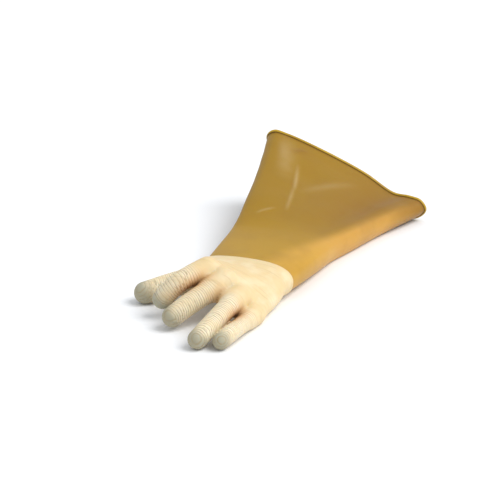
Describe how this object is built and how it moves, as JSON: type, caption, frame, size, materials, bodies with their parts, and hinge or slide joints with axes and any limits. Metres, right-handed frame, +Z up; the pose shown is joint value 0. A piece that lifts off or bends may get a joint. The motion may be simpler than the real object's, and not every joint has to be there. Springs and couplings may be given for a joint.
{
  "type": "glove box glove",
  "caption": "Long left-hand latex glove for a glove box: a ribbed cream hand on a flared amber sleeve with a rolled rim, lying palm down.",
  "frame": {"origin": "centre of the underside of the whole glove's box, on the floor it lies on", "axes": "+Z up off the floor, +Y from the fingers to the sleeve's mouth, -X the thumb's side"},
  "size_m": [0.2832, 0.5634, 0.1206],
  "materials": {
    "ribbed_rubber": "cream ribbed rubber, satin",
    "amber_latex": "amber latex, smooth and softly glossy",
    "rim_latex": "darker amber latex, softly glossy"
  },
  "bodies": {
    "root": {"hand": "ribbed_rubber", "gauntlet": "amber_latex", "cuff_bead": "rim_latex"}
  },
  "joints": []
}
